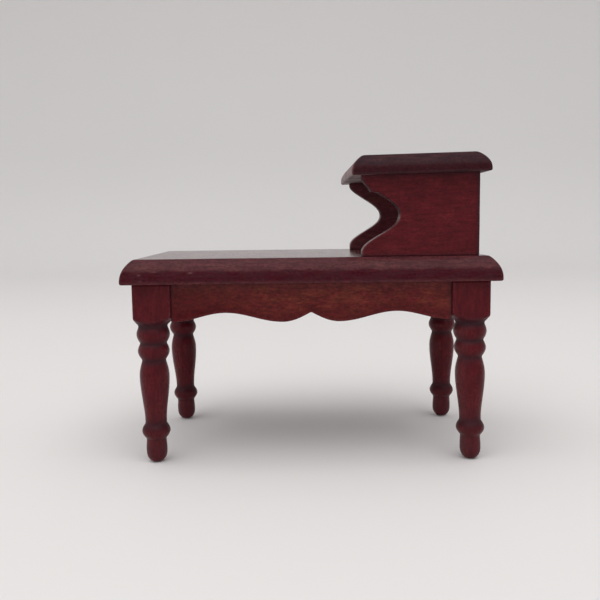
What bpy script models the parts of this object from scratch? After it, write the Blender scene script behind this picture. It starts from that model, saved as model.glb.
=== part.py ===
"""Step table for a dolls' house, at one twelfth scale.

A moulded lower top stands on four turned legs joined by scalloped aprons. At one end
two scroll-cut brackets carry a smaller moulded shelf. Every piece is a separate solid.
Metres, +Z up, +X towards the raised shelf, -Y the front. The origin is on the ground,
under the middle of the lower top.
"""
import math

import bmesh
import bpy
from mathutils import Vector

# Driving dimensions
GAP = 0.0003                      # between pieces that are glued together

TOP_LENGTH = 0.0603
TOP_DEPTH = 0.0356
TOP_THICKNESS = 0.0040
TOP_HEIGHT = 0.0336               # ground to the upper face of the lower top

SHELF_LENGTH = 0.0218
SHELF_DEPTH = 0.0348
SHELF_THICKNESS = 0.0032
SHELF_CENTRE_X = 0.0174
SHELF_UNDERSIDE = 0.0465          # height of the shelf's lower face at its middle
SHELF_TILT = math.radians(1.2)    # the shelf rises slightly towards its outer end

MOULDING_WIDTH = 0.0020           # how far the moulded edge runs in over the board
MOULDING_POWER = 2.6              # 2 is a parabola, more is fuller at mid height
MOULDING_FOOT = 0.0003            # height of the small round under the moulded edge
MOULDING_STEPS = 8

LEG_SPAN_X = 0.0516               # between the legs' turned centre lines
LEG_SPAN_Y = 0.0271
REAR_PAIR_SHIFT = 0.0004          # the rear pair is set a little towards the shelf end
LEG_BLOCK = 0.0061                # side of the square block at the top of a leg
BLOCK_INSET = 0.0004              # the block stands this far in from the turned centre line
LEG_SEGMENTS = 24

APRON_THICKNESS = 0.0024
APRON_SETBACK = 0.0004            # from the legs' outer faces to the apron's face
APRON_CUSP_HEIGHT = 0.0249        # ground to the point at the middle of the scallop
APRON_LOBE_DROP = 0.00155         # from that point down to the lobe on each side
APRON_END_HEIGHT = 0.0235         # ground to the lower corners beside the legs
APRON_LOBE = 0.205                # place of the lobe and of the arch, as fractions
APRON_ARCH = 0.62                 # of the apron's half length
APRON_STEPS = 14
SIDE_SCALLOP = 0.6                # the side aprons' scallop depth against the front's

BRACKET_OUTER_Y = 0.0154
BRACKET_THICKNESS = 0.0029
BRACKET_FRONT_X = 0.0082
BRACKET_BACK_X = 0.0268
NOTCH_DEPTH = 0.0059
NOTCH_FULLNESS = 1.1              # 1 is a cosine wave, more is rounder at the bottom
NOTCH_HEIGHT = 0.0401             # ground to the deepest point of the scroll's notch
NOTCH_RISE = 0.0061               # notch to the plain edge above it
NOTCH_FALL = 0.0058               # notch to the plain edge below it
NOTCH_STEPS = 12

TOP_UNDERSIDE = TOP_HEIGHT - TOP_THICKNESS


def clear_scene():
    for obj in list(bpy.data.objects):
        bpy.data.objects.remove(obj, do_unlink=True)


def new_collection(name):
    collection = bpy.data.collections.new(name)
    bpy.context.scene.collection.children.link(collection)
    return collection


def wood(name, colour, roughness):
    material = bpy.data.materials.new(name)
    material.use_nodes = True
    shader = material.node_tree.nodes["Principled BSDF"]
    shader.inputs["Base Color"].default_value = (*colour, 1.0)
    shader.inputs["Roughness"].default_value = roughness
    shader.inputs["Metallic"].default_value = 0.0
    material.diffuse_color = (*colour, 1.0)
    return material


def add_mesh_object(name, bm, collection, material=None):
    mesh = bpy.data.meshes.new(name)
    bm.to_mesh(mesh)
    bm.free()
    obj = bpy.data.objects.new(name, mesh)
    if material:
        mesh.materials.append(material)
    collection.objects.link(obj)
    return obj


def ease(start, end, t):
    """From start to end along half a cosine wave."""
    return start + (end - start) * (1 - math.cos(math.pi * t)) / 2


# Moulded boards: the lower top and the raised shelf

def moulding_profile(thickness):
    """Inset from the board's edge against height, from the lower face up."""
    profile = []
    for step in range(4):
        angle = math.pi / 2 * step / 4
        profile.append((MOULDING_FOOT * (1 - math.sin(angle)), MOULDING_FOOT * (1 - math.cos(angle))))
    for step in range(MOULDING_STEPS + 1):
        rise = step / MOULDING_STEPS
        height = MOULDING_FOOT + rise * (thickness - MOULDING_FOOT)
        profile.append((MOULDING_WIDTH * rise ** MOULDING_POWER, height))
    return profile


def moulded_board(name, length, depth, thickness, collection, material):
    """A board lofted through rectangles, one for each point of its moulded edge."""
    bm = bmesh.new()
    rings = []
    for inset, height in moulding_profile(thickness):
        half_x = length / 2 - inset
        half_y = depth / 2 - inset
        corners = ((-half_x, -half_y), (half_x, -half_y), (half_x, half_y), (-half_x, half_y))
        rings.append([bm.verts.new((x, y, height)) for x, y in corners])
    for lower, upper in zip(rings, rings[1:]):
        for side in range(4):
            after = (side + 1) % 4
            bm.faces.new((lower[side], lower[after], upper[after], upper[side]))
    bm.faces.new(reversed(rings[0]))
    bm.faces.new(rings[-1])
    return add_mesh_object(name, bm, collection, material)


# Turned legs

def bead(low, high, bulge, steps=7):
    """Points of a round bead between two grooves, each groove given as (radius, height)."""
    points = []
    for step in range(1, steps + 1):
        t = step / steps
        radius = low[0] + t * (high[0] - low[0]) + bulge * math.sin(math.pi * t)
        points.append((radius, low[1] + t * (high[1] - low[1])))
    return points


def leg_profile():
    """Radius against height, from the foot's flat up to the top of the block."""
    foot_flat, foot_radius, foot_round = 0.00075, 0.00166, 0.0013
    ankle = (0.00163, 0.00375)
    ring_top = (0.00178, 0.00645)
    belly = (0.00241, 0.0144)
    lower_groove = (0.00195, 0.01708)
    middle_groove = (0.00218, 0.01983)
    upper_groove = (0.00236, 0.0225)

    profile = []
    for step in range(6):
        angle = math.pi / 2 * step / 5
        radius = foot_flat + (foot_radius - foot_flat) * math.sin(angle)
        profile.append((radius, foot_round * (1 - math.cos(angle))))
    profile.append(ankle)
    profile += bead(ankle, ring_top, bulge=0.00054)
    for step in range(1, 7):
        height = ring_top[1] + step / 6 * (belly[1] - ring_top[1])
        profile.append((ease(ring_top[0], belly[0], step / 6), height))
    for step in range(1, 5):
        height = belly[1] + step / 4 * (lower_groove[1] - belly[1])
        swell = (belly[0] - lower_groove[0]) * math.cos(math.pi / 2 * step / 4)
        profile.append((lower_groove[0] + swell, height))
    profile += bead(lower_groove, middle_groove, bulge=0.00046)
    profile += bead(middle_groove, upper_groove, bulge=0.00037)

    # The shoulder spreads past the block's corners, so the block is cut from it square.
    half_block, shoulder_height = LEG_BLOCK / 2, 0.02345
    spread, slope = 0.0018, 0.6
    profile.append((upper_groove[0] + 0.00004, 0.02285))
    profile.append((half_block, shoulder_height))
    profile.append((half_block + spread, shoulder_height + slope * spread))
    profile.append((half_block + spread, TOP_UNDERSIDE - GAP))
    return profile


def leg_section(material):
    """Half of a leg's section, from the axis at its top, down the outside, to the axis."""
    bm = bmesh.new()
    profile = leg_profile()
    points = [(0.0, profile[-1][1])] + list(reversed(profile)) + [(0.0, 0.0)]
    verts = [bm.verts.new((radius, 0.0, height)) for radius, height in points]
    for above, below in zip(verts, verts[1:]):
        bm.edges.new((above, below))
    mesh = bpy.data.meshes.new("leg_section")
    bm.to_mesh(mesh)
    bm.free()
    mesh.materials.append(material)
    return mesh


def square_stock(name, place, collection):
    """The square stock that a leg is turned from, which trims its block."""
    bm = bmesh.new()
    bmesh.ops.create_cube(bm, size=1.0)
    bmesh.ops.scale(bm, vec=(LEG_BLOCK, LEG_BLOCK, TOP_HEIGHT * 1.2), verts=bm.verts)
    bmesh.ops.translate(bm, vec=(0.0, 0.0, TOP_HEIGHT / 2), verts=bm.verts)
    stock = add_mesh_object(name, bm, collection)
    stock.location = place
    stock.hide_render = True
    stock.display_type = "WIRE"
    return stock


def turned_leg(name, section, place, block_inset, collection, cutters):
    leg = bpy.data.objects.new(name, section)
    leg.location = place
    collection.objects.link(leg)
    turning = leg.modifiers.new("turning", "SCREW")
    turning.axis = "Z"
    turning.angle = math.tau
    turning.steps = LEG_SEGMENTS
    turning.render_steps = LEG_SEGMENTS
    turning.use_merge_vertices = True
    turning.merge_threshold = 0.00001
    turning.use_smooth_shade = True
    squaring = leg.modifiers.new("squaring", "BOOLEAN")
    squaring.operation = "INTERSECT"
    squaring.solver = "EXACT"
    squaring.object = square_stock(name + "_stock", place + block_inset, cutters)


# Flat boards cut to an outline: the aprons and the brackets

def flat_board(name, outline, thickness, collection, material):
    """A board of the given outline, standing upright and centred on its own thickness."""
    curve = bpy.data.curves.new(name, "CURVE")
    curve.dimensions = "2D"
    curve.fill_mode = "BOTH"
    curve.extrude = thickness / 2
    spline = curve.splines.new("POLY")
    spline.points.add(len(outline) - 1)
    for point, (along, height) in zip(spline.points, outline):
        point.co = (along, height, 0.0, 1.0)
    spline.use_cyclic_u = True
    curve.materials.append(material)
    board = bpy.data.objects.new(name, curve)
    board.rotation_euler = (math.pi / 2, 0.0, 0.0)
    collection.objects.link(board)
    return board


def scallop_height(fraction, depth):
    """Height of an apron's lower edge, at a fraction of the way from its middle."""
    cusp = APRON_CUSP_HEIGHT
    lobe = cusp - APRON_LOBE_DROP * depth
    end = cusp - (APRON_CUSP_HEIGHT - APRON_END_HEIGHT) * depth
    if fraction < APRON_LOBE:
        return cusp + (lobe - cusp) * math.sin(math.pi / 2 * fraction / APRON_LOBE)
    if fraction < APRON_ARCH:
        return ease(lobe, cusp, (fraction - APRON_LOBE) / (APRON_ARCH - APRON_LOBE))
    return ease(cusp, end, (fraction - APRON_ARCH) / (1.0 - APRON_ARCH))


def apron_outline(half_length, depth):
    steps = 2 * APRON_STEPS
    edge = []
    for step in range(-steps, steps + 1):
        fraction = abs(step) / steps
        edge.append((half_length * step / steps, scallop_height(fraction, depth)))
    top = TOP_UNDERSIDE - GAP
    return edge + [(half_length, top), (-half_length, top)]


def scroll_edge(height):
    """How far the bracket's front edge is cut back at a height above the ground."""
    above = height - NOTCH_HEIGHT
    reach = NOTCH_RISE if above > 0 else NOTCH_FALL
    wave = ease(0.0, 1.0, min(abs(above) / reach, 1.0))
    return NOTCH_DEPTH * (1.0 - wave ** NOTCH_FULLNESS)


def shelf_underside(x):
    return SHELF_UNDERSIDE + (x - SHELF_CENTRE_X) * math.tan(SHELF_TILT)


def bracket_outline():
    bottom = TOP_HEIGHT + GAP
    front_top = shelf_underside(BRACKET_FRONT_X) - GAP
    back_top = shelf_underside(BRACKET_BACK_X) - GAP
    heights = [NOTCH_HEIGHT + NOTCH_RISE * (1 - step / NOTCH_STEPS) for step in range(NOTCH_STEPS)]
    heights += [NOTCH_HEIGHT - NOTCH_FALL * step / NOTCH_STEPS for step in range(NOTCH_STEPS + 1)]
    heights = [height for height in heights if bottom < height < front_top]
    outline = [(BRACKET_FRONT_X, front_top)]
    outline += [(BRACKET_FRONT_X + scroll_edge(height), height) for height in heights]
    outline += [(BRACKET_FRONT_X, bottom), (BRACKET_BACK_X, bottom), (BRACKET_BACK_X, back_top)]
    return outline


# The pieces

def make_tops(collection):
    lower_top = moulded_board("lower_top", TOP_LENGTH, TOP_DEPTH, TOP_THICKNESS, collection,
                              wood("top_wood", (0.085, 0.016, 0.019), 0.34))
    lower_top.location = (0.0, 0.0, TOP_UNDERSIDE)
    shelf = moulded_board("raised_shelf", SHELF_LENGTH, SHELF_DEPTH, SHELF_THICKNESS, collection,
                          wood("shelf_wood", (0.070, 0.015, 0.018), 0.34))
    shelf.location = (SHELF_CENTRE_X, 0.0, SHELF_UNDERSIDE)
    shelf.rotation_euler = (0.0, -SHELF_TILT, 0.0)


def make_legs(collection, cutters):
    section = leg_section(wood("leg_wood", (0.098, 0.016, 0.017), 0.36))
    for row, side_y in (("front", -1), ("rear", 1)):
        shift = REAR_PAIR_SHIFT if row == "rear" else 0.0
        for end, side_x in (("left", -1), ("right", 1)):
            place = Vector((side_x * LEG_SPAN_X / 2 + shift, side_y * LEG_SPAN_Y / 2, 0.0))
            block_inset = Vector((-side_x * BLOCK_INSET, 0.0, 0.0))
            turned_leg(f"leg_{row}_{end}", section, place, block_inset, collection, cutters)


def make_aprons(collection):
    apron_wood = wood("apron_wood", (0.105, 0.023, 0.018), 0.38)
    face = LEG_BLOCK / 2 - APRON_SETBACK - APRON_THICKNESS / 2
    block_span = LEG_SPAN_X - 2 * BLOCK_INSET
    half_long = (block_span - LEG_BLOCK) / 2 - GAP
    half_short = (LEG_SPAN_Y - LEG_BLOCK) / 2 - GAP
    for row, side_y in (("front", -1), ("rear", 1)):
        shift = REAR_PAIR_SHIFT if row == "rear" else 0.0
        apron = flat_board(f"apron_{row}", apron_outline(half_long, 1.0), APRON_THICKNESS,
                           collection, apron_wood)
        apron.location = (shift, side_y * (LEG_SPAN_Y / 2 + face), 0.0)
    for end, side_x in (("left", -1), ("right", 1)):
        apron = flat_board(f"apron_{end}", apron_outline(half_short, SIDE_SCALLOP),
                           APRON_THICKNESS, collection, apron_wood)
        apron.location = (side_x * (block_span / 2 + face) + REAR_PAIR_SHIFT / 2, 0.0, 0.0)
        apron.rotation_euler = (math.pi / 2, 0.0, math.pi / 2)


def make_brackets(collection):
    bracket_wood = wood("bracket_wood", (0.090, 0.016, 0.018), 0.36)
    middle = BRACKET_OUTER_Y - BRACKET_THICKNESS / 2
    for row, side_y in (("front", -1), ("rear", 1)):
        bracket = flat_board(f"bracket_{row}", bracket_outline(), BRACKET_THICKNESS,
                             collection, bracket_wood)
        bracket.location = (0.0, side_y * middle, 0.0)


def main():
    clear_scene()
    table = new_collection("step_table")
    cutters = new_collection("cutters")
    make_tops(table)
    make_legs(table, cutters)
    make_aprons(table)
    make_brackets(table)


main()
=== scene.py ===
"""The finished look of a dolls' house step table, at one twelfth scale.

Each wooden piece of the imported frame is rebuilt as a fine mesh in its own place: two
moulded boards, four turned legs, four scalloped aprons and two scroll-cut brackets, in
mahogany stained dark red under a satin lacquer.
Metres, +Z up, -Y the front, +X towards the raised shelf.
"""
import math
from types import SimpleNamespace

import bpy
import numpy as np
from mathutils import Matrix, Vector, noise


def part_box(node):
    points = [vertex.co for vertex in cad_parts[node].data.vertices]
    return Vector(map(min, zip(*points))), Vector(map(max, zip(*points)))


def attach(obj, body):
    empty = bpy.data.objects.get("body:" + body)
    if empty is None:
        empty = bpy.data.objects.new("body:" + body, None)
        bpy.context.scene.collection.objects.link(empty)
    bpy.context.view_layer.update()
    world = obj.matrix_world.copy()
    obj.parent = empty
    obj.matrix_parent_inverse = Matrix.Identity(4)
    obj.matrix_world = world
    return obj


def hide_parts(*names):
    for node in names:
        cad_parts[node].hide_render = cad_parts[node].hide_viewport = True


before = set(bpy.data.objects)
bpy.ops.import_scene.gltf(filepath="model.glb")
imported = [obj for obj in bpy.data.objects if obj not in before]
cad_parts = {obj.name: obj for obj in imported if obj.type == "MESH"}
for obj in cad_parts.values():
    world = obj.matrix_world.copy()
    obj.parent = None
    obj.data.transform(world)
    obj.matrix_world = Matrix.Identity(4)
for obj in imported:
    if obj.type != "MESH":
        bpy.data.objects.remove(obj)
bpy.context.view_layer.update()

MM = 0.001
CAD_GAP = 0.3 * MM                # between neighbours in the frame; an apron runs on over it
BEDDING = 0.04 * MM               # how far glued pieces press into each other's sanded faces
SANDING_DEPTH = 0.035 * MM        # how uneven the legs, aprons and brackets are
BOARD_SANDING_DEPTH = 0.02 * MM   # and the boards
CORNER_STEPS = 5                  # points round each rounded corner of an outline
BEAD_STEPS = 12                   # points along each bead of a leg
APRON_COUNTS = (6, 14)            # points across and up an apron's section
BRACKET_COUNTS = (70, 8)          # points along and across a bracket's section

# Moulded boards
TOP_SPACING = 0.18 * MM           # between points along the lower top's outline
SHELF_SPACING = 0.34 * MM
MOULDING_WIDTH = 1.9 * MM         # how far the moulded edge runs in over the board
MOULDING_POWER = 2.5              # 2 is a parabola, more is fuller at mid height
MOULDING_FOOT = 0.25 * MM         # radius of the small round under the moulded edge
SECTION_UNDER = 1.6 * MM          # how far its section runs in under the board
SECTION_OVER = 2.0 * MM           # and on over the flat of the upper face
SECTION_SPACING = 0.13 * MM
CREASE_SOFTNESS = 0.10 * MM       # how far the moulding's creases are sanded over
SHOULDER_SOFTNESS = 0.26 * MM     # and its upper shoulder
SHOULDER_RANGE = (0.35, 0.70)     # shares of the thickness between which that sets in
CORNER_RADIUS = 0.30 * MM
# Insets of the outlines that divide a board's flat faces, and how far they stay from its
# middle line
FLAT_INSETS = np.array([2.1, 3.2, 4.6, 6.2, 8.0, 10.0, 12.2, 14.6, 16.6]) * MM
MIDDLE_MARGIN = 0.4 * MM
SHELF_TILT = math.radians(1.2)
SHELF_THICKNESS = 3.2 * MM
# Where the dark lower band of a moulding ends and where it has its full depth, as shares of
# the board's thickness, and how far that line strays. The band is deeper stain and painted
# shade
TOP_STAIN_AND_SHADE_LINE = (0.60, 0.48)
TOP_STAIN_AND_SHADE_STRAY = 0.08
SHELF_STAIN_AND_SHADE_LINE = (0.54, 0.40)
SHELF_STAIN_AND_SHADE_STRAY = 0.10
# Nicks in the front moulding: place along X, behind the front edge and above the
# underside, then size along X and Z
NICKS = (
    (-27.0 * MM, 0.3 * MM, 1.6 * MM, 0.24 * MM, 0.08 * MM),
    (-24.5 * MM, 0.7 * MM, 2.1 * MM, 0.40 * MM, 0.07 * MM),
    (-26.8 * MM, 0.2 * MM, 0.6 * MM, 0.30 * MM, 0.06 * MM),
    (-18.9 * MM, 0.4 * MM, 1.9 * MM, 0.34 * MM, 0.11 * MM),
)
NICK_REACH = 0.6 * MM             # size along Y
NICK_DEPTH = 0.09 * MM

# Turned legs
LEG_SEGMENTS = 96
LEG_OUTSET = 0.4 * MM             # a leg is turned this far outside the middle of its block
LEAN = {("front", "right"): 0.014, ("rear", "left"): 0.014}     # slope towards +X, going down
LEAN_START = 21.0 * MM            # a leg that leans does so below this height
GROOVE_SOFTNESS = 0.17 * MM
LEG_SPACING = 0.11 * MM           # between points along a leg's section
FOOT_FLAT = 0.45 * MM             # radius of the flat under a foot
FOOT_RADIUS = 1.70 * MM
FOOT_ROUND = 1.75 * MM            # height of the round at the foot's end
FOOT_TOP = 2.6 * MM               # height where the foot begins to narrow
# Radius and height of each groove and of the belly
ANKLE = (1.60 * MM, 3.95 * MM)
RING_TOP = (1.74 * MM, 6.45 * MM)
BELLY = (2.42 * MM, 14.4 * MM)
LOWER_GROOVE = (1.88 * MM, 17.08 * MM)
MIDDLE_GROOVE = (2.10 * MM, 19.83 * MM)
UPPER_GROOVE = (2.32 * MM, 22.5 * MM)
NECK = (2.36 * MM, 22.85 * MM)
# How far each bead bulges from the straight line between its grooves
RING_BULGE = 0.65 * MM
LOWER_BEAD_BULGE = 0.59 * MM
UPPER_BEAD_BULGE = 0.48 * MM
BLOCK_FOOT = 22.7 * MM            # below this height a leg is round
SHOULDER_FACE = 23.45 * MM        # height where the shoulder meets the middle of a block face
SHOULDER_WIDTH = 1.8 * MM         # further out it passes the block's corners
SHOULDER_TOP = 24.53 * MM
BLOCK_PLAIN = 24.8 * MM           # above this height a leg is its plain block
BLOCK_RINGS = 14
BLOCK_SQUARENESS = 26             # exponent that leaves the block's corners slightly eased
SHOULDER_CRISPNESS = 24.0         # exponent that leaves the shoulder's edges slightly eased
# Where a leg is darker: height, spread and strength. The first is painted shade at the
# foot, near the floor; in the others stain has gathered in the grooves
LEG_STAIN_AND_SHADE = (
    (2.0 * MM, 1.9 * MM, 0.30),
    (6.40 * MM, 0.80 * MM, 0.60),
    (17.0 * MM, 0.62 * MM, 0.60),
    (19.85 * MM, 0.50 * MM, 0.60),
    (22.8 * MM, 0.72 * MM, 0.92),
)
RING_STAIN_AND_SHADE = (6.15 * MM, 1.0 * MM, 0.85)     # the deepest, in the same form: stain in the groove above the ring, and painted shade over the ring
FOOT_THINNESS = 0.05              # how thin the stain is up to the ring
FOOT_THIN_FADE = 8.0 * MM         # height over which that fades out above it
LEG_SIDE_HIGHLIGHT = (0.22, 0.10)  # painted highlight: how much paler the turned part's left and right sides are

# Aprons: fractions of the half length, and heights
LOBE_PLACE = 0.205
ARCH_PLACE = 0.62
LOBE_DROP = 1.55 * MM             # from the arches and the middle point down to the lobes
END_DROP = 1.40 * MM              # from the arches down to the ends
SIDE_SCALLOP = 0.6                # how deep the end boards' scallops are beside the others
APRON_ROUNDING = 0.16 * MM
APRON_SPACING = 0.24 * MM         # between sections
APRON_END = 0.3 * MM              # length of the rounding at an apron's ends
APRON_END_ROUNDING = 0.06 * MM    # and its depth
# How far the painted shade at an apron's two ends, in its joints with the leg blocks, spreads over
# it
APRON_END_SHADE = {"front": (0.26 * MM, 0.42 * MM), "rear": (0.34 * MM, 0.28 * MM)}
SIDE_END_SHADE = (0.30 * MM, 0.30 * MM)
END_SHADE_STRENGTH = 0.75
APRON_EDGE_STAIN = (2.4 * MM, 0.85)   # height and strength of the deep stain on the scallops
# The deep stain towards an apron's left or front end: the share of its half length where
# that begins, and its strength
APRON_END_STAIN = (0.40, 0.78)
APRON_LIGHT_UNDER_TOP = (1.2 * MM, 0.10)   # height and strength of the painted light just under the top, where its shade falls

# Brackets, heights above the bracket's foot
SCROLL_REACH = {"front": 0.0, "rear": 0.2 * MM}   # how much further left the tips reach
NOTCH_DEPTH = 6.0 * MM
NOTCH_FULLNESS = {"front": 1.16, "rear": 1.07}    # above 1 the notch is rounder than a wave
NOTCH_HEIGHT = 6.2 * MM
NOTCH_RISE = 6.1 * MM
NOTCH_FALL = 5.8 * MM
TOOTH_HEIGHT = 9.95 * MM          # a small tooth that the saw left on the front scroll
TOOTH_LENGTH = 0.85 * MM
TOOTH_EDGE = 0.12 * MM            # height of the tooth's lower side
TOOTH_FADE = 0.50 * MM            # height over which it runs out upwards
BRACKET_ROUNDING = 0.14 * MM
BRACKET_END = 0.25 * MM           # height of the rounding at a bracket's foot
BRACKET_END_ROUNDING = 0.08 * MM  # and its depth
BRACKET_SECTIONS = 110
TILTED_HEAD = 2.5 * MM            # below the shelf a bracket turns to the shelf's tilt

# Camera, in metres and degrees, with the lens and the sensor in millimetres
CAMERA_PLACE = Vector((-0.000981, -0.134561, 0.039779))
CAMERA_PITCH = math.radians(6.226)
CAMERA_YAW = math.radians(-0.376)
CAMERA_ROLL = math.radians(-0.725)
CAMERA_LENS = 45.0
CAMERA_SENSOR = 36.0
CAMERA_CLIP = 0.005

# Studio paper, a floor that turns up into a wall behind the table
PAPER_TONE = (0.797, 0.778, 0.766)
PAPER_WIDTH = 5.0
PAPER_FRONT = -3.0
PAPER_TURN = 0.42                 # where the floor begins to turn up
PAPER_RADIUS = 0.30
PAPER_HEIGHT = 1.5
PAPER_DROP = 0.01 * MM            # how far it lies below the feet

# Studio light, radiance of the dome and power of the soft box in watts
DOME_TONE = (0.985, 0.985, 1.0)
DOME_SIDES = (1.22, 0.92)         # its share at the far left and the far right
DOME_HORIZON = 0.60
DOME_ZENITH = 0.80
SOFT_BOX_TONE = (1.0, 0.985, 0.97)
SOFT_BOX_PLACE = (0.0, -0.18, 0.50)
SOFT_BOX_SIZE = (0.60, 0.50)
SOFT_BOX_POWER = 1.22

# Stain of each piece
TOP_TONE = (0.095, 0.0220, 0.0290)
SHELF_TONE = (0.060, 0.0130, 0.0180)
LEG_TONE = (0.090, 0.0060, 0.0112)
APRON_TONE = (0.126, 0.0130, 0.0150)
BRACKET_TONE = {"front": (0.100, 0.0075, 0.0128), "rear": (0.135, 0.0290, 0.0380)}
BARE_AND_PAINTED_LIGHT_TONE = (0.18, 0.080, 0.080)  # where the stain is thin or knocked off, and for painted light and painted highlights
# What is left of a tone's red, green and blue where the stain lies deepest and where shade is
# painted
DEEP_SHARE = (0.50, 0.08, 0.22)
# The masks that each wooden piece carries to its material
MASKS = ("stain", "wear", "end_grain", "rubbed", "deep", "bare")


# Small helpers for outlines

def ease(start, end, t):
    """From start to end along half a cosine wave."""
    return start + (end - start) * (1 - np.cos(np.pi * t)) / 2


def ramp(values, start, end):
    """0 at start, 1 at end, evenly between them and level beyond. Either may be higher."""
    return np.clip((values - start) / (end - start), 0, 1)


def smooth_ramp(values, start, end):
    """The same along half a cosine wave."""
    return ease(0.0, 1.0, ramp(values, start, end))


def softened(points, reach, spacing):
    """A polyline resampled at even spacing and smoothed, so that its corners turn round."""
    points = np.array(points)
    steps = np.linalg.norm(np.diff(points, axis=0), axis=1)
    along = np.concatenate([[0.0], np.cumsum(steps)])
    places = np.linspace(0.0, along[-1], int(along[-1] / spacing))
    even = np.stack([np.interp(places, along, points[:, k]) for k in range(2)], axis=1)
    step = places[1] - places[0]
    half = int(3 * reach / step)
    weights = np.exp(-0.5 * (np.arange(-half, half + 1) * step / reach) ** 2)
    weights /= weights.sum()
    padded = np.concatenate([
        2 * even[0] - even[half:0:-1],
        even,
        2 * even[-1] - even[-2:-half - 2:-1],
    ])
    return np.stack([np.convolve(padded[:, k], weights, "valid") for k in range(2)], axis=1)


def rounded_rectangle(low, high, radius, counts):
    """Points counterclockwise round a rectangle with rounded corners; counts are the
    points along its first and second direction."""
    corners = (
        (low[0] + radius, low[1] + radius, math.pi),
        (high[0] - radius, low[1] + radius, 1.5 * math.pi),
        (high[0] - radius, high[1] - radius, 0.0),
        (low[0] + radius, high[1] - radius, 0.5 * math.pi),
    )
    points = []
    for k, (a, b, start) in enumerate(corners):
        turn = start + np.linspace(0.0, 0.5 * math.pi, CORNER_STEPS)
        arc = np.stack([a + radius * np.cos(turn), b + radius * np.sin(turn)], axis=1)
        points.append(arc)
        after_a, after_b, after_start = corners[(k + 1) % 4]
        after = np.array([after_a + radius * math.cos(after_start),
                          after_b + radius * math.sin(after_start)])
        t = np.linspace(0.0, 1.0, counts[k % 2] + 2)[1:-1, None]
        points.append(arc[-1] + t * (after - arc[-1]))
    return np.concatenate(points)


# Small helpers for meshes

def loft(name, rings):
    """A closed mesh through rings of equal length, capped at the first and the last.
    The rings turn counterclockwise about the direction in which they follow each other."""
    rings = np.asarray(rings)
    count, size = rings.shape[:2]
    faces = []
    for r in range(count - 1):
        row, above = r * size, (r + 1) * size
        faces += [(row + k, row + (k + 1) % size, above + (k + 1) % size, above + k)
                  for k in range(size)]
    faces.append(tuple(range(size - 1, -1, -1)))
    faces.append(tuple(range((count - 1) * size, count * size)))
    mesh = bpy.data.meshes.new(name)
    mesh.from_pydata(rings.reshape(-1, 3).tolist(), [], faces)
    mesh.shade_smooth()
    piece = bpy.data.objects.new(name, mesh)
    bpy.context.scene.collection.objects.link(piece)
    return piece


def points_and_normals(mesh):
    points = np.empty(len(mesh.vertices) * 3)
    mesh.vertices.foreach_get("co", points)
    normals = np.empty(len(mesh.vertices) * 3)
    mesh.vertex_normals.foreach_get("vector", normals)
    return points.reshape(-1, 3), normals.reshape(-1, 3)


def put_points(mesh, points):
    mesh.vertices.foreach_set("co", points.astype(np.float32).ravel())
    mesh.update()


def hand_finish(piece, depth, length, width, grain, inwards=0.5):
    """Sands the surface slightly uneven, in waves of the given length along the grain and
    width across it. inwards is the share of the depth by which the whole surface sinks."""
    points, normals = points_and_normals(piece.data)
    scale = np.full(3, 1 / width)
    scale[grain] = 1 / length
    levels = np.array([noise.noise(Vector(p)) for p in points * scale])
    put_points(piece.data, points - normals * (depth * (inwards + 0.5 * levels))[:, None])


def dent(piece, place, size, depth):
    """Presses in a nick of the given size along X, Y and Z, and returns how far it reaches
    at each vertex, as a share of its depth."""
    points, normals = points_and_normals(piece.data)
    far = (((points - np.array(place)) / np.array(size)) ** 2).sum(axis=1)
    push = np.exp(-far)
    put_points(piece.data, points - normals * (depth * push)[:, None])
    return push


def surface_curvature(mesh, passes):
    """Mean curvature at each vertex, per millimetre: above zero on an edge or a bead,
    below zero in a groove."""
    points, normals = points_and_normals(mesh)
    ends = np.empty(len(mesh.edges) * 2, np.int32)
    mesh.edges.foreach_get("vertices", ends)
    first, second = ends.reshape(-1, 2).T
    line = points[second] - points[first]
    square = np.maximum((line ** 2).sum(axis=1), 1e-14)
    total = np.zeros(len(points))
    touching = np.zeros(len(points))
    np.add.at(total, first, -2 * (normals[first] * line).sum(axis=1) / square)
    np.add.at(total, second, 2 * (normals[second] * line).sum(axis=1) / square)
    np.add.at(touching, first, 1)
    np.add.at(touching, second, 1)
    curvature = np.clip(total / touching * MM, -4, 4)
    for _ in range(passes):
        spread = np.zeros(len(points))
        np.add.at(spread, first, curvature[second])
        np.add.at(spread, second, curvature[first])
        curvature = 0.5 * curvature + 0.5 * spread / touching
    return curvature


def near_plane(points, axis, place, reach):
    """1 on the plane where the axis has the given value, fading out over reach."""
    return np.exp(-((points[:, axis] - place) / reach) ** 2)


def put_masks(piece, grain, stain=0.0, rubbed=0.0, deep=0.0, bare=0.0, hollows=1.0):
    """Gives the piece its masks: staining that collects in hollows together with painted shade,
    wear along its edges, end grain where the surface crosses the fibres, how far the lacquer
    is rubbed smooth, where the staining is deepest together with painted shade, and where it
    is thinnest together with painted light. hollows is how strongly hollows collect staining."""
    mesh = piece.data
    curvature = surface_curvature(mesh, passes=4)
    normals = points_and_normals(mesh)[1]
    gathered_and_shaded = hollows * ramp(curvature, 0.0, -0.9) + stain
    wear = ramp(curvature, 0.45, 1.55)
    end_grain = np.abs(normals[:, grain]) ** 3
    for key, values in zip(MASKS, (gathered_and_shaded, wear, end_grain, rubbed, deep, bare)):
        attribute = mesh.attributes.new(key, "FLOAT", "POINT")
        values = np.broadcast_to(np.clip(values, 0, 1), len(mesh.vertices))
        attribute.data.foreach_set("value", values.astype(np.float32))


def settle(piece, node, material):
    """Lets the piece stand for its node of the frame."""
    piece.data.materials.append(material)
    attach(piece, "root")
    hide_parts(node)


# Small helpers for materials

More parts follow.
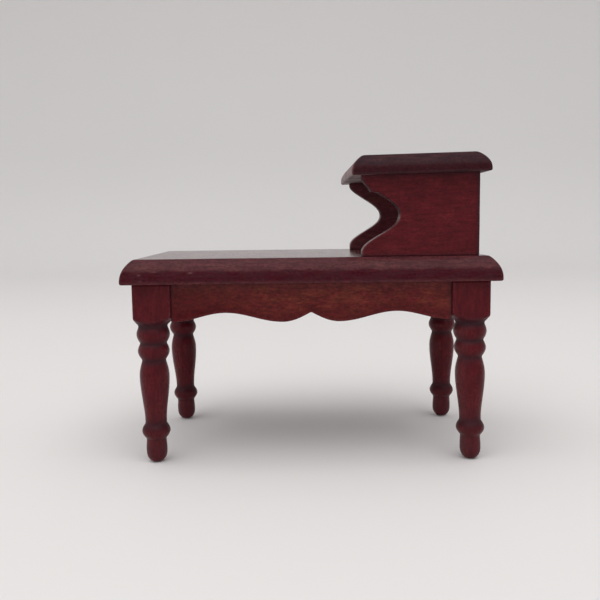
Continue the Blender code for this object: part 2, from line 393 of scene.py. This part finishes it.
def add_node(tree, kind, settings=None, **values):
    node = tree.nodes.new(kind)
    for key, value in (settings or {}).items():
        setattr(node, key, value)
    for key, value in values.items():
        node.inputs[key.replace("_", " ")].default_value = value
    return node


def remapped(tree, source, low, high, to_low=0.0, to_high=1.0):
    node = add_node(tree, "ShaderNodeMapRange", {"interpolation_type": "SMOOTHSTEP"})
    for key, value in (("From Min", low), ("From Max", high),
                       ("To Min", to_low), ("To Max", to_high)):
        node.inputs[key].default_value = value
    tree.links.new(source, node.inputs["Value"])
    return node.outputs["Result"]


def combined(tree, operation, first, second):
    node = add_node(tree, "ShaderNodeMath", {"operation": operation, "use_clamp": True})
    for socket, value in zip(node.inputs, (first, second)):
        if isinstance(value, float):
            socket.default_value = value
        else:
            tree.links.new(value, socket)
    return node.outputs["Value"]


def blended(tree, share, first, second, blend="MIX"):
    """first turned into second by share. Share may be a number or a socket, and first and
    second may be colours or sockets."""
    node = add_node(tree, "ShaderNodeMix", {"data_type": "RGBA", "blend_type": blend})
    if isinstance(share, float):
        node.inputs["Factor"].default_value = share
    else:
        tree.links.new(share, node.inputs["Factor"])
    for socket, value in ((node.inputs[6], first), (node.inputs[7], second)):
        if isinstance(value, tuple):
            socket.default_value = (*value, 1.0)
        else:
            tree.links.new(value, socket)
    return node.outputs[2]


# Wood

def wood_noise(tree, coordinates, grain, stretch, scale, detail, roughness=0.55):
    """Noise in object space, scale per millimetre across the grain and drawn out along it."""
    mapping = add_node(tree, "ShaderNodeMapping")
    size = [1 / MM, 1 / MM, 1 / MM]
    size[grain] /= stretch
    mapping.inputs["Scale"].default_value = size
    tree.links.new(coordinates, mapping.inputs["Vector"])
    texture = add_node(tree, "ShaderNodeTexNoise", Scale=scale, Detail=detail,
                       Roughness=roughness)
    tree.links.new(mapping.outputs["Vector"], texture.inputs["Vector"])
    return texture.outputs["Fac"]


def wood_layers(tree, grain, length):
    """What the wood's colour, sheen and relief are made from: the piece's masks, and noise
    drawn out along its grain."""
    coordinates = add_node(tree, "ShaderNodeTexCoord").outputs["Object"]

    def layer(**values):
        return wood_noise(tree, coordinates, grain, **values)

    wood = SimpleNamespace()
    for key in MASKS:
        attribute = add_node(tree, "ShaderNodeAttribute", {"attribute_name": key})
        setattr(wood, key, attribute.outputs["Fac"])
    wood.figure = layer(stretch=length, scale=0.75, detail=6.0, roughness=0.70)
    wood.fibre = layer(stretch=2.4 * length, scale=2.7, detail=4.0, roughness=0.6)
    wood.blotch = layer(stretch=1.8, scale=0.60, detail=4.0, roughness=0.6)
    wood.mottle = layer(stretch=1.7, scale=3.0, detail=3.0, roughness=0.7)
    wood.peel = layer(stretch=1.0, scale=0.9, detail=2.0)
    pores = layer(stretch=8.0, scale=5.0, detail=1.0)
    wood.pits = remapped(tree, pores, 0.64, 0.74, to_high=0.45)
    speck = layer(stretch=1.0, scale=2.3, detail=1.0)
    wood.broken = remapped(tree, speck, 0.40, 0.62, to_low=0.25)
    uneven = remapped(tree, wood.blotch, 0.30, 0.60, to_low=0.75)
    wood.pooled = combined(tree, "MULTIPLY", wood.stain, uneven)
    return wood


def wood_colour(tree, wood, tone, warmth, grit):
    """The stained tone, varied by the figure, clouds and fibres, then by the masks."""
    red, green, blue = tone
    warm = (1.20 * red, warmth * green, 1.15 * blue)
    dark = tuple(0.54 * part for part in tone)
    deepest = tuple(part * left for part, left in zip(tone, DEEP_SHARE))
    gathered_and_shaded = (0.28 * red + 0.009, 0.0120, 0.0165)
    worn = (1.3 * red + 0.02, green + 0.025, blue + 0.025)

    colour = blended(tree, remapped(tree, wood.figure, 0.32, 0.70, to_high=0.85), tone, warm)
    # Deepest stain, and painted shade
    colour = blended(tree, wood.deep, colour, deepest)
    cloud = remapped(tree, wood.blotch, 0.38, 0.68, to_high=0.46)
    colour = blended(tree, cloud, colour, dark)
    streaks = remapped(tree, wood.fibre, 0.36, 0.64, to_high=0.62)
    colour = blended(tree, streaks, colour, dark)
    colour = blended(tree, wood.pits, colour, gathered_and_shaded)
    crossed = combined(tree, "MULTIPLY", wood.end_grain, wood.broken)
    colour = blended(tree, combined(tree, "MULTIPLY", crossed, 0.75), colour, dark)
    rubbed_off = combined(tree, "MULTIPLY", wood.wear, wood.broken)
    colour = blended(tree, combined(tree, "MULTIPLY", rubbed_off, 0.35), colour, worn)
    # Stain collected in hollows, and painted shade
    colour = blended(tree, wood.pooled, colour, gathered_and_shaded)
    # Paler where the stain is thin or knocked off, and painted light
    colour = blended(tree, wood.bare, colour, BARE_AND_PAINTED_LIGHT_TONE)
    grains = remapped(tree, wood.mottle, 0.30, 0.70, 1 - 0.45 * grit, 1 + 0.45 * grit)
    return blended(tree, 1.0, colour, grains, "MULTIPLY")


def lacquer_roughness(tree, wood, roughness, grit):
    """Satin between the two values of roughness, duller where staining collects and where shade
    is painted, and smoother where the lacquer is rubbed."""
    satin = remapped(tree, wood.blotch, 0.30, 0.70, *roughness)
    satin = combined(tree, "ADD", satin, combined(tree, "MULTIPLY", wood.pooled, 0.35))
    uneven = remapped(tree, wood.mottle, 0.30, 0.70, -0.07 * grit, 0.07 * grit)
    satin = combined(tree, "ADD", satin, uneven)
    polish = combined(tree, "SUBTRACT", 1.0, combined(tree, "MULTIPLY", wood.rubbed, 0.55))
    return combined(tree, "MULTIPLY", satin, polish)


def grain_relief(tree, wood):
    """Raised fibres, open pores and the slight orange peel of the lacquer."""
    height = combined(tree, "MULTIPLY", wood.fibre, 0.4)
    height = combined(tree, "ADD", height, combined(tree, "MULTIPLY", wood.peel, 0.6))
    height = combined(tree, "SUBTRACT", height, combined(tree, "MULTIPLY", wood.pits, 0.30))
    bump = add_node(tree, "ShaderNodeBump", Strength=0.45, Distance=0.03 * MM)
    tree.links.new(height, bump.inputs["Height"])
    return bump.outputs["Normal"]


def mahogany(name, grain, tone, specular=0.12, roughness=(0.30, 0.40), warmth=1.6,
             length=3.6, grit=0.5):
    """Mahogany stained to the given tone, with its fibres along the grain axis (0, 1 or 2).
    warmth is how much yellower its lighter figure is, length how many times longer than
    wide that figure is, and grit how strong its finest mottle is."""
    material = bpy.data.materials.new(name)
    material.use_nodes = True
    tree = material.node_tree
    shader = tree.nodes["Principled BSDF"]
    wood = wood_layers(tree, grain, length)
    tree.links.new(wood_colour(tree, wood, tone, warmth, grit), shader.inputs["Base Color"])
    tree.links.new(lacquer_roughness(tree, wood, roughness, grit), shader.inputs["Roughness"])
    tree.links.new(grain_relief(tree, wood), shader.inputs["Normal"])
    shader.inputs["Specular IOR Level"].default_value = specular
    return material


# Moulded boards

def moulding_section(thickness):
    """Inset from the board's edge and height, from the underside round to the upper face."""
    points = [(SECTION_UNDER, 0.0)]
    for angle in np.linspace(0.0, math.pi / 2, 7):
        inset = MOULDING_FOOT * (1 - math.sin(angle))
        points.append((inset, MOULDING_FOOT * (1 - math.cos(angle))))
    for rise in np.linspace(0.0, 1.0, 21)[1:]:
        inset = MOULDING_WIDTH * rise ** MOULDING_POWER
        points.append((inset, MOULDING_FOOT + rise * (thickness - MOULDING_FOOT)))
    points.append((MOULDING_WIDTH + SECTION_OVER, thickness))
    crisp = softened(points, CREASE_SOFTNESS, SECTION_SPACING)
    round_shoulder = softened(points, SHOULDER_SOFTNESS, SECTION_SPACING)
    share = smooth_ramp(crisp[:, 1] / thickness, *SHOULDER_RANGE)
    return crisp + share[:, None] * (round_shoulder - crisp)


def moulded_board(name, length, depth, thickness, spacing):
    """A board with its moulding, centred on X and Y and standing on Z = 0."""
    section = moulding_section(thickness)
    last = min(length, depth) / 2 - MIDDLE_MARGIN
    under = [(inset, 0.0) for inset in FLAT_INSETS[::-1] if section[0][0] < inset < last]
    over = [(inset, thickness) for inset in FLAT_INSETS if section[-1][0] < inset < last]
    counts = (int(length / spacing), int(depth / spacing))
    rings = []
    for inset, height in [*under, *section, *over]:
        half = (length / 2 - inset, depth / 2 - inset)
        outline = rounded_rectangle((-half[0], -half[1]), half, CORNER_RADIUS, counts)
        rings.append(np.column_stack([outline, np.full(len(outline), height)]))
    return loft(name, rings)


def ragged_line(points, spread):
    """How far the upper boundary of the dark lower band, with its deeper staining and painted
    shade, strays from level beside each point.
    """
    return spread * np.array([noise.noise(Vector((420 * x, 420 * y, 0.0)))
                              + 0.5 * noise.noise(Vector((1500 * x, 1500 * y, 3.0)))
                              for x, y, _ in points])


def tool_marks(points):
    """Fine streaks along X that the moulding cutter left, between about -1 and 1."""
    return np.array([2 * noise.noise(Vector((320 * x, 600 * y, 3200 * z)))
                     for x, y, z in points])


def flat_top(normals):
    """1 where the surface faces straight up."""
    return ramp(normals[:, 2], 11 / 12, 1.0)


def make_lower_top():
    """The lower top, with its grain along X and nicks in its front moulding."""
    low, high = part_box("lower_top")
    size = high - low
    board = moulded_board("top_board", size.x, size.y, size.z, TOP_SPACING)
    board.data.transform(Matrix.Translation(((low.x + high.x) / 2, (low.y + high.y) / 2, low.z)))
    hand_finish(board, BOARD_SANDING_DEPTH, length=5.0 * MM, width=0.9 * MM, grain=0)
    hand_finish(board, BOARD_SANDING_DEPTH, length=16.0 * MM, width=7.0 * MM, grain=0)
    marks = 0.0
    for x, behind, above, wide, tall in NICKS:
        place = (x, low.y + behind, low.z + above)
        marks = marks + dent(board, place, (wide, NICK_REACH, tall), NICK_DEPTH)
    points, normals = points_and_normals(board.data)
    rise = (points[:, 2] - low.z) / size.z
    # Deeper stain and painted shade on the moulding's lower band
    deep = smooth_ramp(rise - ragged_line(points, TOP_STAIN_AND_SHADE_STRAY), *TOP_STAIN_AND_SHADE_LINE)
    deep *= 0.25 + 0.75 * smooth_ramp(rise, 0.04, 0.18)
    put_masks(board, grain=0, rubbed=flat_top(normals), deep=deep, bare=0.7 * marks)
    material = mahogany("top_mahogany", 0, TOP_TONE, specular=0.09, roughness=(0.28, 0.36),
                        grit=0.55)
    settle(board, "lower_top", material)


def shelf_underside(x):
    """Height of the raised shelf's underside at x; it rises towards the outer end."""
    low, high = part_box("raised_shelf")
    length = (high.x - low.x) / math.cos(SHELF_TILT)
    middle = low.z + (length / 2 - MOULDING_FOOT) * math.sin(SHELF_TILT)
    return middle + (x - (low.x + high.x) / 2) * math.tan(SHELF_TILT)


def make_raised_shelf():
    """The raised shelf, with its grain along Y and its free left end barely stained."""
    low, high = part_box("raised_shelf")
    length = (high.x - low.x) / math.cos(SHELF_TILT)
    board = moulded_board("shelf_board", length, high.y - low.y, SHELF_THICKNESS, SHELF_SPACING)
    middle = (low.x + high.x) / 2
    place = Matrix.Translation((middle, (low.y + high.y) / 2, shelf_underside(middle)))
    board.data.transform(place @ Matrix.Rotation(-SHELF_TILT, 4, "Y"))
    hand_finish(board, BOARD_SANDING_DEPTH, length=5.0 * MM, width=0.9 * MM, grain=0)
    hand_finish(board, BOARD_SANDING_DEPTH, length=12.0 * MM, width=6.0 * MM, grain=1)
    points, normals = points_and_normals(board.data)
    rise = (points[:, 2] - shelf_underside(points[:, 0])) / SHELF_THICKNESS
    # Deeper stain and painted shade on the moulding's lower band
    deep = smooth_ramp(rise - ragged_line(points, SHELF_STAIN_AND_SHADE_STRAY), *SHELF_STAIN_AND_SHADE_LINE)
    deep *= smooth_ramp(rise, 0.03, 0.13) * ramp(np.abs(normals[:, 0]), 1.0, 0.23)
    flat_face = flat_top(normals)
    beneath = ramp(normals[:, 2], -0.75, -1.0)
    beneath *= 1 - 0.85 * smooth_ramp(points[:, 0] - low.x, 1.8 * MM, 4.8 * MM)
    free_end = ramp(normals[:, 0], -0.21, -0.93)
    streaks = 0.6 + 0.4 * tool_marks(points)
    stain = streaks * (1 - flat_face) * (1 - deep) * (1 - free_end)
    put_masks(board, grain=1, stain=stain, rubbed=flat_face, deep=deep,
              bare=0.8 * (beneath + free_end))
    material = mahogany("shelf_mahogany", 1, SHELF_TONE, specular=0.09, roughness=(0.30, 0.42),
                        grit=0.55)
    settle(board, "raised_shelf", material)


# Turned legs

def bead(low, high, bulge):
    """Radius and height along a round bead between two grooves."""
    t = np.arange(1, BEAD_STEPS + 1) / BEAD_STEPS
    radius = low[0] + t * (high[0] - low[0]) + bulge * np.sin(np.pi * t)
    return list(zip(radius, low[1] + t * (high[1] - low[1])))


def leg_section(half_block, top):
    """Radius and height from the foot up; above the shoulder it passes the block's corners."""
    points = [(FOOT_FLAT / 2, 0.0)]
    for angle in np.linspace(0.0, math.pi / 2, 9):
        radius = FOOT_FLAT + (FOOT_RADIUS - FOOT_FLAT) * math.sin(angle)
        points.append((radius, FOOT_ROUND * (1 - math.cos(angle))))
    points.append((FOOT_RADIUS, FOOT_TOP))
    points.append(ANKLE)
    points += bead(ANKLE, RING_TOP, RING_BULGE)
    for t in np.linspace(0.0, 1.0, 17)[1:]:
        points.append((ease(RING_TOP[0], BELLY[0], t), RING_TOP[1] + t * (BELLY[1] - RING_TOP[1])))
    for t in np.linspace(0.0, 1.0, 9)[1:]:
        swell = (BELLY[0] - LOWER_GROOVE[0]) * math.cos(math.pi / 2 * t)
        points.append((LOWER_GROOVE[0] + swell, BELLY[1] + t * (LOWER_GROOVE[1] - BELLY[1])))
    points += bead(LOWER_GROOVE, MIDDLE_GROOVE, LOWER_BEAD_BULGE)
    points += bead(MIDDLE_GROOVE, UPPER_GROOVE, UPPER_BEAD_BULGE)
    points += [NECK, (half_block, SHOULDER_FACE), (half_block + SHOULDER_WIDTH, SHOULDER_TOP)]
    section = softened(points, GROOVE_SOFTNESS, LEG_SPACING)
    plain = np.column_stack([np.full(BLOCK_RINGS, 2 * half_block),
                             np.linspace(BLOCK_PLAIN, top, BLOCK_RINGS)])
    return np.concatenate([section, plain])


def block_reach(half_block, offset):
    """Directions round a leg's axis, crowded towards the block's corners, and the distance
    to the block's eased faces in each. The block's middle lies at offset from the axis."""
    back, front = offset - half_block, offset + half_block
    corners = np.array([math.atan2(-half_block, front), math.atan2(half_block, front),
                        math.atan2(half_block, back), math.atan2(-half_block, back) + math.tau])
    t = np.arange(LEG_SEGMENTS // 4) / (LEG_SEGMENTS // 4)
    after = np.append(corners[1:], corners[0] + math.tau)
    turns = np.concatenate([ease(a, b, t) for a, b in zip(corners, after)])
    cosine, sine = np.cos(turns), np.sin(turns)
    along_x = cosine / np.where(cosine > 0, front, back)
    along_y = np.abs(sine) / half_block
    power = BLOCK_SQUARENESS
    return cosine, sine, (along_x ** power + along_y ** power) ** (-1 / power)


def make_leg(name, node, material, top, lean):
    """A leg as distances from its own axis: the smaller of the turned radius and the
    square block, blended so that the edges between them are eased."""
    low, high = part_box(node)
    half_block = (high.x - low.x) / 2
    outset = math.copysign(LEG_OUTSET, low.x)
    axis = Vector(((low.x + high.x) / 2 + outset, (low.y + high.y) / 2, 0.0))
    cosine, sine, square = block_reach(half_block, -outset)
    power = -SHOULDER_CRISPNESS
    rings = []
    for radius, height in leg_section(half_block, top):
        reach = np.full_like(square, radius)
        if height > BLOCK_FOOT:
            reach = (reach ** power + square ** power) ** (1 / power)
        middle = axis.x + lean * max(LEAN_START - height, 0.0)
        rings.append(np.column_stack([middle + reach * cosine, axis.y + reach * sine,
                                      np.full_like(reach, height)]))
    leg = loft(name, rings)
    hand_finish(leg, SANDING_DEPTH, length=4.0 * MM, width=1.6 * MM, grain=2, inwards=0.0)
    points, normals = points_and_normals(leg.data)
    points[:, 2] = np.clip(points[:, 2], 0.0, top)
    put_points(leg.data, points)
    # Stain gathered in the grooves, and painted shade at the foot and over the ring
    shade = sum(strength * near_plane(points, 2, height, spread)
                for height, spread, strength in LEG_STAIN_AND_SHADE)
    height, spread, strength = RING_STAIN_AND_SHADE
    deep = strength * near_plane(points, 2, height, spread)
    turned = ramp(points[:, 2], BLOCK_FOOT, BLOCK_FOOT - 0.5 * MM)
    paler = FOOT_THINNESS * smooth_ramp(points[:, 2], RING_TOP[1] + FOOT_THIN_FADE, RING_TOP[1])
    # Painted highlight on the turned part's left and right sides
    paler += turned * np.where(normals[:, 0] < 0, *LEG_SIDE_HIGHLIGHT) * normals[:, 0] ** 2
    put_masks(leg, grain=2, stain=shade, deep=deep, bare=paler * (1 - deep), hollows=0.35)
    settle(leg, node, material)


def make_legs(top):
    material = mahogany("leg_mahogany", 2, LEG_TONE, roughness=(0.25, 0.35), length=2.6,
                        grit=0.25)
    for row in ("front", "rear"):
        for end in ("left", "right"):
            make_leg(f"turned_leg_{row}_{end}", f"leg_{row}_{end}", material, top,
                     LEAN.get((row, end), 0.0))


# Aprons

def scallop(fraction, depth):
    """Height of an apron's lower edge above its lobes, by the fraction from its middle."""
    dip = LOBE_DROP * (1 - np.sin(np.pi / 2 * np.clip(fraction / LOBE_PLACE, 0, 1)))
    arch = LOBE_DROP * smooth_ramp(fraction, LOBE_PLACE, ARCH_PLACE)
    tail = END_DROP * smooth_ramp(fraction, ARCH_PLACE, 1.0)
    return depth * (dip + arch - tail)


def make_apron(name, node, material, top, along, depth, end_shade):
    """An apron as sections across it. along is the axis it runs on, depth how deep its
    scallops are as a share of the front's, and seams as in APRON_END_SHADE."""
    low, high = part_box(node)
    across = 1 - along
    start, end = low[along] - CAD_GAP, high[along] + CAD_GAP
    middle, half = (low[along] + high[along]) / 2, (high[along] - low[along]) / 2
    steps = APRON_END * np.array([0.0, 0.08, 0.25, 0.55])
    places = np.concatenate([
        start + steps,
        np.linspace(start + APRON_END, end - APRON_END, int((end - start) / APRON_SPACING)),
        end - steps[::-1],
    ])
    rings = []
    for place in places:
        inset = APRON_END_ROUNDING * ramp(min(place - start, end - place), APRON_END, 0.0) ** 2
        bottom = low.z + scallop(abs(place - middle) / half, depth) + inset
        sides = (low[across] + inset, high[across] - inset)
        if along == 0:
            ring = rounded_rectangle((sides[0], bottom), (sides[1], top), APRON_ROUNDING,
                                     APRON_COUNTS)
            points = np.column_stack([np.full(len(ring), place), ring])
        else:
            ring = rounded_rectangle((bottom, sides[0]), (top, sides[1]), APRON_ROUNDING,
                                     APRON_COUNTS[::-1])
            points = np.column_stack([ring[:, 1], np.full(len(ring), place), ring[:, 0]])
        rings.append(points)
    apron = loft(name, rings)
    hand_finish(apron, SANDING_DEPTH, length=6.0 * MM, width=2.2 * MM, grain=along)
    points = points_and_normals(apron.data)[0]
    # Painted shade at the two ends, in the joints with the leg blocks
    shade = sum(END_SHADE_STRENGTH * near_plane(points, along, place, shade_reach)
                for place, shade_reach in ((start, end_shade[0]), (end, end_shade[1])))
    towards_start = (middle - points[:, along]) / half
    edge = low.z + scallop(np.abs(towards_start), depth)
    height, strength = APRON_EDGE_STAIN
    deep = strength * ramp(points[:, 2] - edge, height, 0.0)
    beginning, strength = APRON_END_STAIN
    deep += strength * ramp(towards_start, beginning, 1.0)
    # Painted light just under the top, where the top's shade falls
    height, strength = APRON_LIGHT_UNDER_TOP
    paler = strength * near_plane(points, 2, top, height)
    put_masks(apron, grain=along, stain=shade, deep=deep, bare=paler)
    settle(apron, node, material)


def make_aprons(top):
    boards = (
        ("front", 0, 1.0, APRON_END_SHADE["front"]),
        ("rear", 0, 1.0, APRON_END_SHADE["rear"]),
        ("left", 1, SIDE_SCALLOP, SIDE_END_SHADE),
        ("right", 1, SIDE_SCALLOP, SIDE_END_SHADE),
    )
    for side, along, depth, end_shade in boards:
        material = mahogany(f"apron_mahogany_{side}", along, APRON_TONE, warmth=2.6,
                            length=2.2, grit=0.7)
        make_apron(f"scalloped_apron_{side}", f"apron_{side}", material, top, along, depth, end_shade)


# Brackets

def scroll_edge(height, row):
    """How far the bracket's front edge is cut back at a height above its foot."""
    above = height - NOTCH_HEIGHT
    reach = NOTCH_RISE if above > 0 else NOTCH_FALL
    wave = smooth_ramp(abs(above), 0.0, reach)
    cut = NOTCH_DEPTH * (1 - wave ** NOTCH_FULLNESS[row])
    over = height - TOOTH_HEIGHT
    if row == "front" and over > -TOOTH_EDGE:
        fade = math.exp(-max(over, 0.0) / TOOTH_FADE)
        cut -= TOOTH_LENGTH * fade * min(1.0, 1.0 + over / TOOTH_EDGE)
    return max(cut, 0.0)


def make_bracket(row, material, foot):
    """A bracket as level sections, which turn to the shelf's tilt near its head."""
    low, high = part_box(f"bracket_{row}")
    middle = (low.x + high.x) / 2
    head = shelf_underside(middle) + BEDDING
    rise = foot - BEDDING
    heights = np.concatenate([
        rise + BRACKET_END * np.array([0.0, 0.1, 0.3, 0.6]),
        np.linspace(rise + BRACKET_END, head, BRACKET_SECTIONS),
    ])
    rings = []
    for height in heights:
        inset = BRACKET_END_ROUNDING * ramp(height, rise + BRACKET_END, rise) ** 2
        front = low.x - SCROLL_REACH[row] + scroll_edge(height - low.z, row) + inset
        ring = rounded_rectangle((front, low.y + inset), (high.x - inset, high.y - inset),
                                 BRACKET_ROUNDING, BRACKET_COUNTS)
        lift = smooth_ramp(height, head - TILTED_HEAD, head)
        slope = lift * (ring[:, 0] - middle) * math.tan(SHELF_TILT)
        rings.append(np.column_stack([ring, height + slope]))
    bracket = loft(f"scroll_bracket_{row}", rings)
    hand_finish(bracket, SANDING_DEPTH, length=6.0 * MM, width=2.0 * MM, grain=0)
    points, normals = points_and_normals(bracket.data)
    below_shelf = shelf_underside(points[:, 0]) - points[:, 2]
    over_foot = points[:, 2] - low.z
    above_notch = smooth_ramp(over_foot, NOTCH_HEIGHT - 0.5 * MM, NOTCH_HEIGHT + 0.5 * MM)
    # Darker at the foot, where stain gathers, and down the back edge; painted shadow under the
    # shelf, and painted shade in the upper scroll, whose cut faces downward
    shade = 0.75 * near_plane(points, 2, rise, 0.32 * MM)
    shade += 0.20 * ramp(below_shelf, 1.5 * MM, 0.0)
    shade += 0.45 * ramp(below_shelf, 0.6 * MM, 0.0)
    shade += 0.95 * near_plane(points, 0, high.x, 0.34 * MM)
    shade += 0.9 * ramp(normals[:, 0], 0.0, -2 / 3) * above_notch
    # A painted highlight lightens the front arris of the lower scroll
    arris_highlight = near_plane(points, 1, low.y, 0.30 * MM) * ramp(normals[:, 0], 0.0, -0.5)
    put_masks(bracket, grain=0, stain=shade, deep=near_plane(points, 0, high.x, 0.50 * MM),
              bare=0.5 * arris_highlight * (1 - above_notch))
    settle(bracket, f"bracket_{row}", material)


def make_brackets(foot):
    for row in ("front", "rear"):
        material = mahogany(f"bracket_mahogany_{row}", 0, BRACKET_TONE[row], length=2.4,
                            grit=0.45)
        make_bracket(row, material, foot)


# Studio

def plain_paper(name, colour, roughness):
    """Pale studio paper with a barely uneven tone, with painted shade where it stands upright.
    Its back lets light and sight through, so that the table can also be seen from below."""
    material = bpy.data.materials.new(name)
    material.use_nodes = True
    tree = material.node_tree
    shader = tree.nodes["Principled BSDF"]
    coordinates = add_node(tree, "ShaderNodeTexCoord").outputs["Object"]
    fleck = add_node(tree, "ShaderNodeTexNoise", Scale=9.0, Detail=3.0)
    tree.links.new(coordinates, fleck.inputs["Vector"])
    parts = add_node(tree, "ShaderNodeSeparateXYZ")
    tree.links.new(coordinates, parts.inputs["Vector"])
    # Painted shade on the upright part of the paper
    upright = remapped(tree, parts.outputs["Z"], 0.0, 0.12)
    tone = blended(tree, upright, colour, tuple(0.91 * part for part in colour))
    flecked = remapped(tree, fleck.outputs["Fac"], 0.3, 0.7, to_high=0.02)
    tone = blended(tree, flecked, tone, (0.5, 0.5, 0.5))
    tree.links.new(tone, shader.inputs["Base Color"])
    shader.inputs["Roughness"].default_value = roughness
    shader.inputs["Specular IOR Level"].default_value = 0.2
    clear = add_node(tree, "ShaderNodeBsdfTransparent")
    behind = add_node(tree, "ShaderNodeNewGeometry").outputs["Backfacing"]
    choice = add_node(tree, "ShaderNodeMixShader")
    tree.links.new(behind, choice.inputs[0])
    tree.links.new(shader.outputs["BSDF"], choice.inputs[1])
    tree.links.new(clear.outputs["BSDF"], choice.inputs[2])
    tree.links.new(choice.outputs["Shader"], tree.nodes["Material Output"].inputs["Surface"])
    return material


def make_sweep():
    """The studio paper, as one strip bent along its section."""
    section = [(PAPER_FRONT, 0.0), (PAPER_TURN, 0.0)]
    for angle in np.linspace(0.0, math.pi / 2, 25)[1:]:
        section.append((PAPER_TURN + PAPER_RADIUS * math.sin(angle),
                        PAPER_RADIUS * (1 - math.cos(angle))))
    section.append((PAPER_TURN + PAPER_RADIUS, PAPER_HEIGHT))
    points = [(side * PAPER_WIDTH / 2, place, height - PAPER_DROP)
              for place, height in section for side in (-1, 1)]
    faces = [(2 * k, 2 * k + 1, 2 * k + 3, 2 * k + 2) for k in range(len(section) - 1)]
    mesh = bpy.data.meshes.new("studio_sweep")
    mesh.from_pydata(points, [], faces)
    mesh.shade_smooth()
    sweep = bpy.data.objects.new("studio_sweep", mesh)
    bpy.context.scene.collection.objects.link(sweep)
    mesh.materials.append(plain_paper("pale_paper", PAPER_TONE, roughness=0.7))


def make_soft_box():
    """A rectangular lamp above and in front of the table, turned towards its middle."""
    data = bpy.data.lights.new("overhead", "AREA")
    data.shape = "RECTANGLE"
    data.size, data.size_y = SOFT_BOX_SIZE
    data.energy = SOFT_BOX_POWER
    data.color = SOFT_BOX_TONE
    light = bpy.data.objects.new("overhead", data)
    light.location = SOFT_BOX_PLACE
    light.rotation_euler = (-Vector(SOFT_BOX_PLACE)).to_track_quat("-Z", "Y").to_euler()
    bpy.context.scene.collection.objects.link(light)


def light_studio():
    """A soft dome of light, dim at the horizon, bright overhead and a little brighter on
    the left, and a soft box."""
    world = bpy.data.worlds.new("studio")
    bpy.context.scene.world = world
    world.use_nodes = True
    tree = world.node_tree
    background = tree.nodes["Background"]
    background.inputs["Color"].default_value = (*DOME_TONE, 1.0)
    direction = add_node(tree, "ShaderNodeTexCoord").outputs["Generated"]
    parts = add_node(tree, "ShaderNodeSeparateXYZ")
    tree.links.new(direction, parts.inputs["Vector"])
    strength = remapped(tree, parts.outputs["Z"], 0.0, 1.0, DOME_HORIZON, DOME_ZENITH)
    sideways = remapped(tree, parts.outputs["X"], -1.0, 1.0, *DOME_SIDES)
    balanced = add_node(tree, "ShaderNodeMath", {"operation": "MULTIPLY"})
    tree.links.new(strength, balanced.inputs[0])
    tree.links.new(sideways, balanced.inputs[1])
    tree.links.new(balanced.outputs["Value"], background.inputs["Strength"])
    make_soft_box()
    bpy.context.scene.view_settings.view_transform = "Standard"


def place_camera():
    data = bpy.data.cameras.new("camera")
    data.lens = CAMERA_LENS
    data.sensor_width = CAMERA_SENSOR
    data.clip_start = CAMERA_CLIP
    camera = bpy.data.objects.new("camera", data)
    level = Vector((math.cos(CAMERA_YAW), -math.sin(CAMERA_YAW), 0.0))
    ahead = Vector((math.sin(CAMERA_YAW), math.cos(CAMERA_YAW), 0.0))
    up = Vector((0.0, 0.0, 1.0))
    forward = math.cos(CAMERA_PITCH) * ahead - math.sin(CAMERA_PITCH) * up
    upright = math.sin(CAMERA_PITCH) * ahead + math.cos(CAMERA_PITCH) * up
    right = math.cos(CAMERA_ROLL) * level + math.sin(CAMERA_ROLL) * upright
    upright = math.cos(CAMERA_ROLL) * upright - math.sin(CAMERA_ROLL) * level
    camera.matrix_world = Matrix((
        (right.x, upright.x, -forward.x, CAMERA_PLACE.x),
        (right.y, upright.y, -forward.y, CAMERA_PLACE.y),
        (right.z, upright.z, -forward.z, CAMERA_PLACE.z),
        (0.0, 0.0, 0.0, 1.0),
    ))
    bpy.context.scene.collection.objects.link(camera)
    bpy.context.scene.camera = camera


def main():
    top_low, top_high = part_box("lower_top")
    make_lower_top()
    make_raised_shelf()
    make_legs(top_low.z + BEDDING)
    make_aprons(top_low.z + BEDDING)
    make_brackets(top_high.z)
    make_sweep()
    light_studio()
    place_camera()


main()
